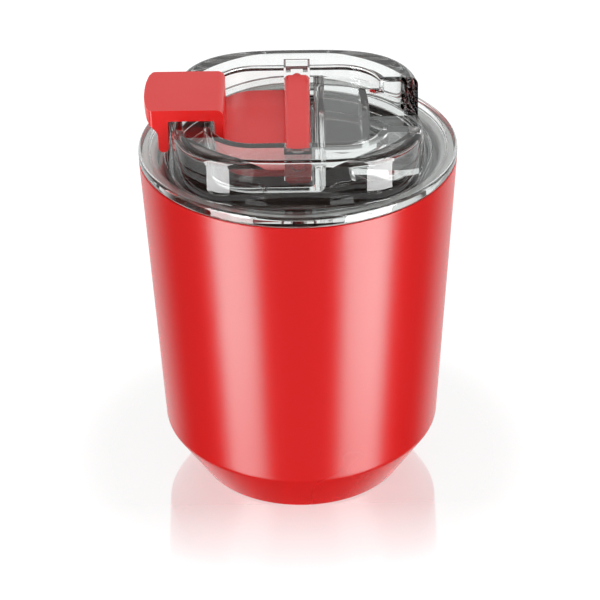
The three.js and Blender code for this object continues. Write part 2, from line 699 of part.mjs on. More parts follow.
function finish(color, roughness, metalness, opacity = 1) {
  return new THREE.MeshStandardMaterial({
    color,
    roughness,
    metalness,
    opacity,
    transparent: opacity < 1,
  });
}

const redPaint = () => finish(0xd9201d, 0.35, 0.1);
const steel = () => finish(0xc9ccd0, 0.2, 1);
const foil = () => finish(0xd8d9dc, 0.3, 1);
const clearPlastic = () => finish(0xe9eef0, 0.08, 0, 0.35);
const redPlastic = () => finish(0xd2312e, 0.4, 0);
const silicone = () => finish(0xb9bcbd, 0.7, 0);
const sealingGlass = () => finish(0x8a8f7c, 0.3, 0);

const tumbler = new THREE.Group();
const cup = new THREE.Group();
const lid = new THREE.Group();
const lever = new THREE.Group();

cup.add(
  piece("outer_shell", outerShell(), redPaint()),
  piece("inner_liner", innerLiner(), steel()),
  piece("heat_shield_foil", heatShield(), foil()),
  piece("getter", getter(), steel()),
  piece("base_plate", basePlate(), steel()),
  piece("vacuum_seal", vacuumSeal(), sealingGlass()),
  piece("base_cap", baseCap(), steel()),
);
lid.add(
  piece("lid_body", lidBody(), clearPlastic()),
  piece("lid_gasket", lidGasket(), silicone()),
);
lever.add(
  piece("flip_lever", flipLever(), redPlastic()),
  piece("drink_stopper", drinkStopper(), silicone()),
  piece("vent_pad", ventPad(), silicone()),
);
tumbler.add(cup, lid, lever);

export default tumbler;
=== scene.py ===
import json
import math

import bmesh
import bpy
from mathutils import Matrix, Vector


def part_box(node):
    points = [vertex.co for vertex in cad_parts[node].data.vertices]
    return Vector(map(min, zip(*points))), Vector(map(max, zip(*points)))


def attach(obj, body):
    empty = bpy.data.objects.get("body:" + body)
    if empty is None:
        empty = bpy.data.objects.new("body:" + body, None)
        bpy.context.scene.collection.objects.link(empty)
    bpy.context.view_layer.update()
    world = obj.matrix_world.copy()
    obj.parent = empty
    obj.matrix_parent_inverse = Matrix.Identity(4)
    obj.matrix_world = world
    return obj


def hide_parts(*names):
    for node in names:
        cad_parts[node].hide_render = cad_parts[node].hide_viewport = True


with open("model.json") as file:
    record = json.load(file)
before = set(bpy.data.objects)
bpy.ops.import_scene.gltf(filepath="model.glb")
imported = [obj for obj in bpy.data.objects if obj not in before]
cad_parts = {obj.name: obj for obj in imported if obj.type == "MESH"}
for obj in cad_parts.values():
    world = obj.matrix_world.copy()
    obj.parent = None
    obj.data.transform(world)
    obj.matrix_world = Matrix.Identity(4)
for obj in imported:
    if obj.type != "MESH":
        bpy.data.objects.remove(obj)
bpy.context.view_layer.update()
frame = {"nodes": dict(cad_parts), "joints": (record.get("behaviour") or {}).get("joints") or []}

MM = 0.001

# ---- Places read from the frame, in millimetres ----


def span(node, axis):
    """Lowest and highest place of a node along an axis, in millimetres."""
    low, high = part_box(node)
    return low[axis] / MM, high[axis] / MM


rim_radius = span("outer_shell", 0)[1]
rim_height = span("outer_shell", 2)[1]
skirt_bottom, ring_top = span("lid_body", 2)
bar_half_width = span("flip_lever", 0)[1]
tab_outer_x = span("flip_lever", 0)[0]
bar_bottom, tab_top = span("flip_lever", 2)
trunnion_end = span("flip_lever", 1)[1]
hinge_z = frame["joints"][1]["pos_m"][2] / MM

JOINT_GAP = 0.3  # between pieces that are welded, glued or pressed together
PAST = 2.0  # how far a cutter runs past the face it opens

# ---- Cup sizes ----
BASE_RADIUS = 30.3
SHOULDER_RADIUS = 40.2
SHOULDER_HEIGHT = 15.4
SHELL_WALL = 0.8
LINER_WALL = 0.7
LINER_LIP = 1.2  # radius of the bend from the neck to the lip
RIM_WIDTH = 5.4
NECK_DEPTH = 9.5
FOOT_WIDTH = 3.1
CUP_FLOOR = 7.6
LINER_FOOT_RADIUS = 35.1

neck_radius = rim_radius - RIM_WIDTH
neck_bottom = rim_height - NECK_DEPTH

# ---- Lid sizes ----
LID_WALL = 2.0
FLANGE_THICKNESS = 2.8
FLANGE_WIDTH = 3.0
GUTTER_DEPTH = 1.4
UNDERSIDE_STEP = 0.2  # from the flange's underside down to the lid's
SEAL_SPACE = 2.0  # between the skirt and the liner
SKIRT_WALL = 2.4
GROOVE_RISE = 2.2
GROOVE_WIDTH = 4.4
GROOVE_DEPTH = 0.8
RING_MARGIN = (6.7, 5.7)  # from the gutter's outer edge to the ring, sideways and forwards
RING_WIDTH = (11.3, 12.6)
RING_SQUARENESS = 3.2  # exponent of the ring's outline
RING_EDGE = 2.4
RING_FLARE = 0.9
WELL_CORNER = 12.0
WELL_EDGE = 0.8
DIVIDER_X = 4.7
DIVIDER_WALL = 2.8
DIVIDER_DROP = 3.1  # below the ring's top
PLATFORM_DROP = 3.6
POCKET_DROP = 1.0  # below the flange's top
POCKET_WALL = 1.5
POCKET_CORNER = 1.6
RECESS_X = 20.3
RECESS_BOW = 0.8
RECESS_HALF_WIDTH = 15.3
DRINK_HOLE_HALF = (2.0, 7.0)
VENT_X = -12.0
VENT_RADIUS = 1.5
MOUTH_STEP = 2.0  # how much longer the mouth of a trunnion slot is than the slot
MOUTH_WIDENING = 1.4

flange_bottom = rim_height + JOINT_GAP
flange_top = flange_bottom + FLANGE_THICKNESS
gutter_radius = rim_radius - FLANGE_WIDTH
gutter_floor = flange_top - GUTTER_DEPTH
lid_underside = flange_bottom - UNDERSIDE_STEP
pocket_floor = flange_top - POCKET_DROP
pocket_underside = pocket_floor - POCKET_WALL
platform_top = ring_top - PLATFORM_DROP
divider_top = ring_top - DIVIDER_DROP
skirt_radius = neck_radius - SEAL_SPACE
skirt_inner = skirt_radius - SKIRT_WALL
groove_bottom = skirt_bottom + GROOVE_RISE
groove_radius = skirt_radius - GROOVE_DEPTH
ring_half = [gutter_radius - margin for margin in RING_MARGIN]
well_half = [half - width for half, width in zip(ring_half, RING_WIDTH)]
drink_hole_x = -(ring_half[0] + well_half[0]) / 2

# ---- Lever sizes ----
TAB_HALF_WIDTH = 12.4
TAB_THICKNESS = 3.3
TAB_BULGE = 1.6
TAB_CORNER = 1.2
PLATE_THICKNESS = 3.0
PLATE_DROP = 2.5  # top of the plate below the hinge
PLATE_GAP = (1.1, 0.6)  # to the well's wall at the swinging end and at the sides
BAR_RISE = 2.0  # above the hinge
BAR_END_GAP = 0.5
BAR_EDGE = 1.4
LEG_WALL = 2.6
LEG_EDGE = 2.2
HOOK_WALL = 2.9
HOOK_REACH = 9.5
HOOK_GAP = 0.4  # to the ring's side
TRUNNION_RADIUS = 1.5
HINGE_GAP = 0.25
STOPPER_SOCKET_DEPTH = 1.7
PAD_SOCKET = (1.8, 1.5)  # radius and depth

tab_bottom = tab_top - TAB_THICKNESS
plate_top = hinge_z - PLATE_DROP
plate_bottom = plate_top - PLATE_THICKNESS
plate_half = [half - gap for half, gap in zip(well_half, PLATE_GAP)]
bar_top = hinge_z + BAR_RISE
bar_half_length = well_half[1] - BAR_END_GAP
leg_outer_x = -plate_half[0]
leg_inner_x = leg_outer_x + LEG_WALL
hook_inner_x = -(ring_half[0] + HOOK_GAP)
hook_outer_x = hook_inner_x - HOOK_WALL
slot_reach = trunnion_end + JOINT_GAP
slot_radius = TRUNNION_RADIUS + HINGE_GAP

# ---- Outlines: lists of 2-D points in millimetres ----


def arc(a, b, radius, start, end, steps):
    """Points round the centre (a, b), from the start angle to the end angle."""
    angles = [start + (end - start) * k / steps for k in range(steps + 1)]
    return [(a + radius * math.cos(t), b + radius * math.sin(t)) for t in angles]


def eased(corners, steps=6, closed=True):
    """Rounds each (a, b, radius) corner of an outline with an arc."""
    points = []
    count = len(corners)
    for i, (a, b, radius) in enumerate(corners):
        here = Vector((a, b))
        at_end = not closed and i in (0, count - 1)
        if radius <= 0 or at_end:
            points.append(here)
            continue
        back = Vector(corners[i - 1][:2]) - here
        ahead = Vector(corners[(i + 1) % count][:2]) - here
        half_angle = back.angle(ahead) / 2
        reach = min(radius / math.tan(half_angle), 0.49 * back.length, 0.49 * ahead.length)
        true_radius = reach * math.tan(half_angle)
        middle = (back.normalized() + ahead.normalized()).normalized()
        centre = here + middle * (true_radius / math.sin(half_angle))
        start = here + back.normalized() * reach - centre
        end = here + ahead.normalized() * reach - centre
        turn = start.angle_signed(end)
        for k in range(steps + 1):
            angle = -turn * k / steps
            cosine, sine = math.cos(angle), math.sin(angle)
            spoke = (start.x * cosine - start.y * sine, start.x * sine + start.y * cosine)
            points.append(centre + Vector(spoke))
    return [(p[0], p[1]) for p in points]


def squircle(half_x, half_y, count=192):
    """Outline of the raised ring: a square with bulging sides."""
    power = 2 / RING_SQUARENESS
    points = []
    for i in range(count):
        angle = 2 * math.pi * i / count
        c, s = math.cos(angle), math.sin(angle)
        x = half_x * math.copysign(abs(c) ** power, c)
        y = half_y * math.copysign(abs(s) ** power, s)
        points.append((x, y))
    return points


def rounded_rectangle(half_x, half_y, radius, centre=(0, 0), steps=16):
    signs = ((1, 1), (-1, 1), (-1, -1), (1, -1))
    corners = [(centre[0] + sx * half_x, centre[1] + sy * half_y, radius) for sx, sy in signs]
    return eased(corners, steps)


def ring_outline(inset):
    return squircle(ring_half[0] - inset, ring_half[1] - inset)


def well_outline(inset):
    return rounded_rectangle(well_half[0] - inset, well_half[1] - inset, WELL_CORNER - inset)


def slot_outline(half_width, half_length, x=drink_hole_x):
    return rounded_rectangle(half_width, half_length, half_width * 0.999, (x, 0), 10)


def circle(radius, x=0.0, count=192):
    return arc(x, 0, radius, 0, 2 * math.pi, count)[:-1]


# ---- Solids ----


def new_object(name, mesh):
    made = bpy.data.objects.new(name, mesh)
    bpy.context.scene.collection.objects.link(made)
    return made


def mesh_object(name, work):
    """An object from a bmesh, its faces turned outwards."""
    if work.calc_volume(signed=True) < 0:
        bmesh.ops.reverse_faces(work, faces=work.faces[:])
    mesh = bpy.data.meshes.new(name)
    work.to_mesh(mesh)
    work.free()
    return new_object(name, mesh)


def stacked(layers):
    """A solid through flat outlines of equal length, each given with its height."""
    work = bmesh.new()
    rings = [[work.verts.new((x * MM, y * MM, z * MM)) for x, y in points] for points, z in layers]
    for lower, upper in zip(rings, rings[1:]):
        for i in range(len(lower)):
            j = (i + 1) % len(lower)
            work.faces.new((lower[i], lower[j], upper[j], upper[i]))
    work.faces.new(reversed(rings[0]))
    work.faces.new(rings[-1])
    return mesh_object("stack", work)


def prism(points, low, high):
    return stacked([(points, low), (points, high)])


def soft_prism(outline, low, high, top=0.0, bottom=0.0, steps=6):
    """A prism on outline(inset) with its top and bottom edges rounded."""
    layers = []
    for k in range(steps + 1 if bottom else 0):
        angle = math.pi / 2 * k / steps
        inset = bottom * (1 - math.sin(angle))
        layers.append((outline(inset), low + bottom * (1 - math.cos(angle))))
    if not bottom:
        layers.append((outline(0), low))
    for k in range(steps + 1 if top else 0):
        angle = math.pi / 2 * k / steps
        inset = top * (1 - math.cos(angle))
        layers.append((outline(inset), high - top * (1 - math.sin(angle))))
    if not top:
        layers.append((outline(0), high))
    return stacked(layers)


def cross_prism(points, half_length):
    """A prism along Y on an outline in the X-Z plane."""
    work = bmesh.new()
    near = [work.verts.new((x * MM, -half_length * MM, z * MM)) for x, z in points]
    far = [work.verts.new((x * MM, half_length * MM, z * MM)) for x, z in points]
    for i in range(len(points)):
        j = (i + 1) % len(points)
        work.faces.new((near[i], near[j], far[j], far[i]))
    work.faces.new(reversed(near))
    work.faces.new(far)
    return mesh_object("cross", work)


def block(low_x, high_x, half_y, low, high):
    corners = [(low_x, -half_y), (high_x, -half_y), (high_x, half_y), (low_x, half_y)]
    return prism(corners, low, high)


def combined(first, second, operation):
    """Joins, cuts or keeps the common part of two solids, and uses up the second."""
    step = first.modifiers.new("combine", "BOOLEAN")
    step.operation = operation
    step.solver = "EXACT"
    step.object = second
    seen = first.evaluated_get(bpy.context.evaluated_depsgraph_get())
    mesh = bpy.data.meshes.new_from_object(seen)
    first.modifiers.remove(step)
    first.data = mesh
    bpy.data.objects.remove(second)
    return first


def joined(first, *others):
    for other in others:
        combined(first, other, "UNION")
    return first


def cut(first, *others):
    for other in others:
        combined(first, other, "DIFFERENCE")
    return first


def common(first, second):
    return combined(first, second, "INTERSECT")


# ---- Turned pieces, made by a geometry tree ----


def turning_tree():
    """Sweeps an outline round a circle: the outline's X is the distance from the circle."""
    tree = bpy.data.node_groups.new("turn outline", "GeometryNodeTree")
    sockets = tree.interface
    sockets.new_socket("Outline", in_out="INPUT", socket_type="NodeSocketGeometry")
    sockets.new_socket("Hub Radius", in_out="INPUT", socket_type="NodeSocketFloat")
    sockets.new_socket("Steps", in_out="INPUT", socket_type="NodeSocketInt")
    sockets.new_socket("Finish", in_out="INPUT", socket_type="NodeSocketMaterial")
    sockets.new_socket("Piece", in_out="OUTPUT", socket_type="NodeSocketGeometry")
    nodes, links = tree.nodes, tree.links
    source = nodes.new("NodeGroupInput")
    result = nodes.new("NodeGroupOutput")
    line = nodes.new("GeometryNodeMeshToCurve")
    hub = nodes.new("GeometryNodeCurvePrimitiveCircle")
    sweep = nodes.new("GeometryNodeCurveToMesh")
    weld = nodes.new("GeometryNodeMergeByDistance")
    weld.inputs["Distance"].default_value = 1e-6
    smooth = nodes.new("GeometryNodeSetShadeSmooth")
    real = nodes.new("GeometryNodeRealizeInstances")
    paint = nodes.new("GeometryNodeSetMaterial")
    links.new(source.outputs["Outline"], line.inputs["Mesh"])
    links.new(source.outputs["Hub Radius"], hub.inputs["Radius"])
    links.new(source.outputs["Steps"], hub.inputs["Resolution"])
    links.new(hub.outputs["Curve"], sweep.inputs["Curve"])
    links.new(line.outputs["Curve"], sweep.inputs["Profile Curve"])
    links.new(sweep.outputs["Mesh"], weld.inputs["Geometry"])
    links.new(weld.outputs["Geometry"], smooth.inputs["Geometry"])
    links.new(smooth.outputs["Geometry"], real.inputs["Geometry"])
    links.new(real.outputs["Geometry"], paint.inputs["Geometry"])
    links.new(source.outputs["Finish"], paint.inputs["Material"])
    links.new(paint.outputs["Geometry"], result.inputs["Piece"])
    return tree


turning = turning_tree()


def turned(name, outline, material=None, steps=192, x=0.0):
    """A piece turned about an upright axis at x, from an outline of (radius, height) points."""
    hub = 20.0
    on_axis = abs(outline[0][0]) < 1e-6 and abs(outline[-1][0]) < 1e-6
    work = bmesh.new()
    verts = [work.verts.new(((r - hub) * MM, -z * MM, 0)) for r, z in outline]
    pairs = list(zip(verts, verts[1:])) + ([] if on_axis else [(verts[-1], verts[0])])
    for pair in pairs:
        work.edges.new(pair)
    mesh = bpy.data.meshes.new(name)
    work.to_mesh(mesh)
    work.free()
    piece = new_object(name, mesh)
    step = piece.modifiers.new("turn", "NODES")
    step.node_group = turning
    values = {"Hub Radius": hub * MM, "Steps": steps, "Finish": material}
    for item in turning.interface.items_tree:
        if item.in_out == "INPUT" and item.name in values:
            step[item.identifier] = values[item.name]
    seen = piece.evaluated_get(bpy.context.evaluated_depsgraph_get())
    made = bpy.data.meshes.new_from_object(seen)
    piece.modifiers.remove(step)
    piece.data = made
    work = bmesh.new()
    work.from_mesh(made)
    bmesh.ops.translate(work, verts=work.verts[:], vec=(x * MM, 0, 0))
    if work.calc_volume(signed=True) < 0:
        bmesh.ops.reverse_faces(work, faces=work.faces[:])
    work.to_mesh(made)
    work.free()
    return piece


# ---- Finishing ----


def softened(piece, width, angle=28, segments=3):
    """Rounds a moulded piece's edges and shades it smoothly between them."""
    work = bmesh.new()
    work.from_mesh(piece.data)
    bmesh.ops.remove_doubles(work, verts=work.verts[:], dist=2e-6)
    bmesh.ops.dissolve_degenerate(work, edges=work.edges[:], dist=1e-6)
    work.to_mesh(piece.data)
    work.free()
    step = piece.modifiers.new("edges", "BEVEL")
    step.width = width * MM
    step.segments = segments
    step.limit_method = "ANGLE"
    step.angle_limit = math.radians(angle)
    step.miter_outer = "MITER_ARC"
    step.use_clamp_overlap = True
    step.harden_normals = False
    even = piece.modifiers.new("shading", "WEIGHTED_NORMAL")
    even.keep_sharp = True
    piece.data.polygons.foreach_set("use_smooth", [True] * len(piece.data.polygons))
    return piece


def dressed(piece, material, body, slot, *nodes):
    """Gives a piece its finish and body, and hides the CAD nodes it stands for. The slot argument is
    not used.
    """
    piece.data.materials.clear()
    piece.data.materials.append(material)
    piece.data.update()
    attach(piece, body)
    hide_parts(*nodes)
    return piece


# ---- Shared surface effects ----


def effect_group(name, inputs, outputs):
    group = bpy.data.node_groups.new(name, "ShaderNodeTree")
    for label, kind, value in inputs:
        socket = group.interface.new_socket(label, in_out="INPUT", socket_type=kind)
        socket.default_value = value
    for label, kind in outputs:
        group.interface.new_socket(label, in_out="OUTPUT", socket_type=kind)
    return group, group.nodes.new("NodeGroupInput"), group.nodes.new("NodeGroupOutput")


def noise_node(nodes, detail=3.0, roughness=0.5):
    node = nodes.new("ShaderNodeTexNoise")
    node.inputs["Detail"].default_value = detail
    node.inputs["Roughness"].default_value = roughness
    return node


def ranged(nodes, low_in, high_in, low_out, high_out):
    node = nodes.new("ShaderNodeMapRange")
    for label, value in (("From Min", low_in), ("From Max", high_in),
                         ("To Min", low_out), ("To Max", high_out)):
        node.inputs[label].default_value = value
    return node


def drift_effect():
    """Slow change of colour and gloss across a surface, as handling and batch colour leave."""
    group, source, result = effect_group(
        "surface drift",
        [("Colour", "NodeSocketColor", (0.5, 0.5, 0.5, 1)),
         ("Other Colour", "NodeSocketColor", (0.5, 0.5, 0.5, 1)),
         ("Size", "NodeSocketFloat", 20.0),
         ("Gloss Low", "NodeSocketFloat", 0.3),
         ("Gloss High", "NodeSocketFloat", 0.4)],
        [("Colour", "NodeSocketColor"), ("Roughness", "NodeSocketFloat")])
    nodes, links = group.nodes, group.links
    place = nodes.new("ShaderNodeTexCoord")
    slow = noise_node(nodes, 4.0, 0.6)
    blend = nodes.new("ShaderNodeMix")
    blend.data_type = "RGBA"
    gloss = nodes.new("ShaderNodeMapRange")
    spread = ranged(nodes, 0.1, 0.9, 0.0, 1.0)
    spread.interpolation_type = "SMOOTHSTEP"
    links.new(place.outputs["Object"], slow.inputs["Vector"])
    links.new(source.outputs["Size"], slow.inputs["Scale"])
    links.new(slow.outputs["Fac"], spread.inputs["Value"])
    links.new(spread.outputs["Result"], blend.inputs["Factor"])
    links.new(source.outputs["Colour"], blend.inputs["A"])
    links.new(source.outputs["Other Colour"], blend.inputs["B"])
    links.new(spread.outputs["Result"], gloss.inputs["Value"])
    links.new(source.outputs["Gloss Low"], gloss.inputs["To Min"])
    links.new(source.outputs["Gloss High"], gloss.inputs["To Max"])
    links.new(blend.outputs["Result"], result.inputs["Colour"])
    links.new(gloss.outputs["Result"], result.inputs["Roughness"])
    return group


def grain_effect():
    """Fine pebbling of a sprayed coat or a moulded face, as a normal."""
    group, source, result = effect_group(
        "fine grain",
        [("Size", "NodeSocketFloat", 1500.0), ("Depth", "NodeSocketFloat", 0.1)],
        [("Normal", "NodeSocketVector"), ("Height", "NodeSocketFloat")])
    nodes, links = group.nodes, group.links
    place = nodes.new("ShaderNodeTexCoord")
    fine = noise_node(nodes, 2.0)
    bump = nodes.new("ShaderNodeBump")
    bump.inputs["Distance"].default_value = 0.0001
    links.new(place.outputs["Object"], fine.inputs["Vector"])
    links.new(source.outputs["Size"], fine.inputs["Scale"])
    links.new(fine.outputs["Fac"], bump.inputs["Height"])
    links.new(source.outputs["Depth"], bump.inputs["Strength"])
    links.new(bump.outputs["Normal"], result.inputs["Normal"])
    links.new(fine.outputs["Fac"], result.inputs["Height"])
    return group


def spinning_effect():
    """Rings left round a steel piece by polishing it on a lathe."""
    group, source, result = effect_group(
        "spun rings",
        [("Pitch", "NodeSocketFloat", 900.0), ("Depth", "NodeSocketFloat", 0.2),
         ("Gloss Low", "NodeSocketFloat", 0.1), ("Gloss High", "NodeSocketFloat", 0.25)],
        [("Normal", "NodeSocketVector"), ("Roughness", "NodeSocketFloat")])
    nodes, links = group.nodes, group.links
    place = nodes.new("ShaderNodeTexCoord")
    parts = nodes.new("ShaderNodeSeparateXYZ")
    radius = nodes.new("ShaderNodeVectorMath")
    radius.operation = "LENGTH"
    flat = nodes.new("ShaderNodeVectorMath")
    flat.operation = "MULTIPLY"
    flat.inputs[1].default_value = (1, 1, 0)
    line = nodes.new("ShaderNodeCombineXYZ")
    rings = noise_node(nodes, 4.0, 0.7)
    bump = nodes.new("ShaderNodeBump")
    bump.inputs["Distance"].default_value = 0.00005
    gloss = nodes.new("ShaderNodeMapRange")
    gloss.inputs["From Min"].default_value = 0.3
    gloss.inputs["From Max"].default_value = 0.7
    links.new(place.outputs["Object"], parts.inputs["Vector"])
    links.new(place.outputs["Object"], flat.inputs[0])
    links.new(flat.outputs["Vector"], radius.inputs[0])
    links.new(radius.outputs["Value"], line.inputs["X"])
    links.new(parts.outputs["Z"], line.inputs["Z"])
    links.new(line.outputs["Vector"], rings.inputs["Vector"])
    links.new(source.outputs["Pitch"], rings.inputs["Scale"])
    links.new(rings.outputs["Fac"], bump.inputs["Height"])
    links.new(source.outputs["Depth"], bump.inputs["Strength"])
    links.new(rings.outputs["Fac"], gloss.inputs["Value"])
    links.new(source.outputs["Gloss Low"], gloss.inputs["To Min"])
    links.new(source.outputs["Gloss High"], gloss.inputs["To Max"])
    links.new(bump.outputs["Normal"], result.inputs["Normal"])
    links.new(gloss.outputs["Result"], result.inputs["Roughness"])
    return group


drift = drift_effect()
grain = grain_effect()
spun = spinning_effect()


def material_with(name, **values):
    """A material with its shader, whose named sockets are set to the values."""
    material = bpy.data.materials.new(name)
    material.use_nodes = True
    shader = material.node_tree.nodes["Principled BSDF"]
    for label, value in values.items():
        shader.inputs[label.replace("_", " ")].default_value = value
    return material, shader


def placed(material, group, **values):
    node = material.node_tree.nodes.new("ShaderNodeGroup")
    node.node_tree = group
    for label, value in values.items():
        node.inputs[label.replace("_", " ")].default_value = value
    return node


def coloured(name, colour, other, gloss, size=25.0, grain_size=1500.0, depth=0.1, **values):
    """A painted or moulded finish: drifting colour and gloss under a fine grain."""
    material, shader = material_with(name, **values)
    links = material.node_tree.links
    tone = placed(material, drift, Colour=(*colour, 1), Other_Colour=(*other, 1), Size=size,
                  Gloss_Low=gloss[0], Gloss_High=gloss[1])
    texture = placed(material, grain, Size=grain_size, Depth=depth)
    links.new(tone.outputs["Colour"], shader.inputs["Base Color"])
    links.new(tone.outputs["Roughness"], shader.inputs["Roughness"])
    links.new(texture.outputs["Normal"], shader.inputs["Normal"])
    return material


def spun_metal(name, colour, other, gloss, pitch, depth):
    """A metal finish with polishing rings."""
    material, shader = material_with(name, Metallic=1.0)
    links = material.node_tree.links
    tone = placed(material, drift, Colour=(*colour, 1), Other_Colour=(*other, 1), Size=30.0)
    rings = placed(material, spun, Pitch=pitch, Depth=depth, Gloss_Low=gloss[0],
                   Gloss_High=gloss[1])
    links.new(tone.outputs["Colour"], shader.inputs["Base Color"])
    links.new(rings.outputs["Roughness"], shader.inputs["Roughness"])
    links.new(rings.outputs["Normal"], shader.inputs["Normal"])
    return material


def lipped(material, height, bore_shade_colour):
    """Darkens the inside of a spun cup below its lip with painted shade, and leaves the lip,
    flattened by grinding at this height, satin.
    """
    nodes, links = material.node_tree.nodes, material.node_tree.links
    shader = nodes["Principled BSDF"]
    place = nodes.new("ShaderNodeTexCoord")
    parts = nodes.new("ShaderNodeSeparateXYZ")
    # Mask: 1 on the satin lip and 0 below it, where the colour turns darker as painted shade inside
    # the cup.
    lip_mask_and_bore_shade = ranged(nodes, (height - 0.9) * MM, (height - 0.3) * MM, 0.0, 1.0)
    satin = nodes.new("ShaderNodeMath")
    satin.operation = "MULTIPLY_ADD"
    satin.inputs[1].default_value = 0.38
    tone = nodes.new("ShaderNodeMix")
    tone.data_type = "RGBA"
    tone.inputs["A"].default_value = (*bore_shade_colour, 1)
    links.new(place.outputs["Object"], parts.inputs["Vector"])
    links.new(parts.outputs["Z"], lip_mask_and_bore_shade.inputs["Value"])
    links.new(lip_mask_and_bore_shade.outputs["Result"], satin.inputs[0])
    links.new(lip_mask_and_bore_shade.outputs["Result"], tone.inputs["Factor"])
    links.new(shader.inputs["Roughness"].links[0].from_socket, satin.inputs[2])
    links.new(shader.inputs["Base Color"].links[0].from_socket, tone.inputs["B"])
    links.new(satin.outputs["Value"], shader.inputs["Roughness"])
    links.new(tone.outputs["Result"], shader.inputs["Base Color"])
    return material


def clear_plastic():
    material, shader = material_with("clear lid plastic", IOR=1.5, Transmission_Weight=1.0)
    links = material.node_tree.links
    tone = placed(material, drift, Colour=(0.972, 0.982, 0.978, 1),
                  Other_Colour=(0.96, 0.972, 0.967, 1), Size=40.0, Gloss_Low=0.0, Gloss_High=0.03)
    flow = placed(material, grain, Size=60.0, Depth=0.03)
    links.new(tone.outputs["Colour"], shader.inputs["Base Color"])
    links.new(tone.outputs["Roughness"], shader.inputs["Roughness"])
    links.new(flow.outputs["Normal"], shader.inputs["Normal"])
    return material


# The tint on the red finishes mutes the glare of the cards on them.
red_paint = coloured("red satin paint", (0.60, 0.003, 0.003), (0.59, 0.003, 0.003),
                     (0.255, 0.28), 9.0, 2600.0, 0.04, Specular_Tint=(0.05, 1, 1, 1))
red_plastic = coloured("red moulded plastic", (0.76, 0.006, 0.005), (0.73, 0.005, 0.004),
                       (0.30, 0.38), 60.0, 3500.0, 0.08, Specular_Tint=(0.6, 1, 1, 1))
grey_silicone = coloured("grey silicone", (0.60, 0.62, 0.62), (0.54, 0.56, 0.56),
                         (0.45, 0.6), 60.0, 2500.0, 0.15, Subsurface_Weight=0.2,
                         Subsurface_Radius=(0.002, 0.002, 0.002))
glass_bead = coloured("fused sealing glass", (0.10, 0.11, 0.08), (0.06, 0.07, 0.05),
                      (0.08, 0.2), 300.0, 2500.0, 0.1)
# The liner's darker colour below its lip is painted shade inside the cup.
liner_steel = lipped(spun_metal("polished liner steel", (0.80, 0.795, 0.79), (0.74, 0.735, 0.73),
                                (0.10, 0.22), 700.0, 0.25), rim_height, (0.58, 0.545, 0.53))
cap_steel = spun_metal("brushed cap steel", (0.55, 0.55, 0.56), (0.50, 0.50, 0.51),
                       (0.22, 0.38), 1400.0, 0.5)
pressed_steel = spun_metal("pressed steel", (0.48, 0.48, 0.49), (0.42, 0.42, 0.43),
                           (0.3, 0.45), 600.0, 0.3)
bright_foil = spun_metal("bright foil", (0.80, 0.81, 0.83), (0.72, 0.73, 0.76),
                         (0.18, 0.35), 250.0, 0.9)
lid_plastic = clear_plastic()

# ---- Cup ----


def make_shell():
    inner_foot = BASE_RADIUS - FOOT_WIDTH
    outline = eased([
        (inner_foot, 0, 0.15), (BASE_RADIUS, 0, 1.0),
        (SHOULDER_RADIUS, SHOULDER_HEIGHT, 3.5),
        (rim_radius, rim_height, 0.35), (rim_radius - SHELL_WALL, rim_height, 0.3),
        (SHOULDER_RADIUS - SHELL_WALL, SHOULDER_HEIGHT, 3.0),
        (BASE_RADIUS - 0.4, SHELL_WALL, 0.3), (inner_foot, SHELL_WALL, 0.15)], 8)
    piece = turned("cup_shell", outline, red_paint)
    return dressed(piece, red_paint, "cup", "red_paint", "outer_shell")


def make_liner():
    rim_outer = rim_radius - SHELL_WALL - JOINT_GAP
    inside = [(0, CUP_FLOOR, 0), (LINER_FOOT_RADIUS, CUP_FLOOR, 10),
              (neck_radius, neck_bottom, 6), (neck_radius, rim_height, LINER_LIP),
              (rim_outer, rim_height, 0.2)]
    wall = LINER_WALL
    outside = [(rim_outer, rim_height - wall, 0.2),
               (neck_radius + wall, rim_height - wall, LINER_LIP - 0.5),
               (neck_radius + wall, neck_bottom, 6),
               (LINER_FOOT_RADIUS + wall, CUP_FLOOR - wall, 10.7), (0, CUP_FLOOR - wall, 0)]
    outline = eased(inside + outside, 8, closed=False)
    piece = turned("cup_liner", outline, liner_steel)
    return dressed(piece, liner_steel, "cup", "polished_steel", "inner_liner")


# ---- Lid ----


def lid_base():
    groove_top = groove_bottom + GROOVE_WIDTH
    outline = eased([
        (0, lid_underside, 0), (skirt_inner, lid_underside, 0.5),
        (skirt_inner, skirt_bottom, 0.3), (skirt_radius, skirt_bottom, 0.7),
        (skirt_radius, groove_bottom, 0.15), (groove_radius, groove_bottom, 0.15),
        (groove_radius, groove_top, 0.15), (skirt_radius, groove_top, 0.15),
        (skirt_radius, flange_bottom, 0.5), (rim_radius, flange_bottom, 0.5),
        (rim_radius, flange_top, 0.9), (gutter_radius, flange_top, 0.5),
        (gutter_radius, gutter_floor, 0.9), (0, gutter_floor, 0)], 6, closed=False)
    return turned("lid_base", outline)


def ring_block():
    """The raised ring, flaring softly into the gutter's floor."""
    layers = [(ring_outline(-RING_FLARE), lid_underside + 0.4)]
    for k in range(7):
        angle = math.pi / 2 * k / 6
        height = gutter_floor + RING_FLARE * (1 - math.cos(angle))
        layers.append((ring_outline(-RING_FLARE * (1 - math.sin(angle))), height))
    for k in range(9):
        angle = math.pi / 2 * k / 8
        height = ring_top - RING_EDGE * (1 - math.sin(angle))
        layers.append((ring_outline(RING_EDGE * (1 - math.cos(angle))), height))
    return stacked(layers)


def recess_prism(grow, low, high):
    half = RECESS_HALF_WIDTH + grow
    side = RECESS_X - RECESS_BOW - grow
    points = [(rim_radius + PAST, -half), (rim_radius + PAST, half)]
    steps = 24
    for k in range(steps + 1):
        share = k / steps
        bow = 4 * RECESS_BOW * share * (1 - share)
        points.append((side + bow, half * (1 - 2 * share)))
    return prism(points, low, high)


def bearing_boss():
    """The plastic kept round the trunnion slots."""
    wall = LID_WALL + slot_radius
    return block(-wall, wall, slot_reach + MOUTH_STEP + LID_WALL, hinge_z - wall, ring_top)


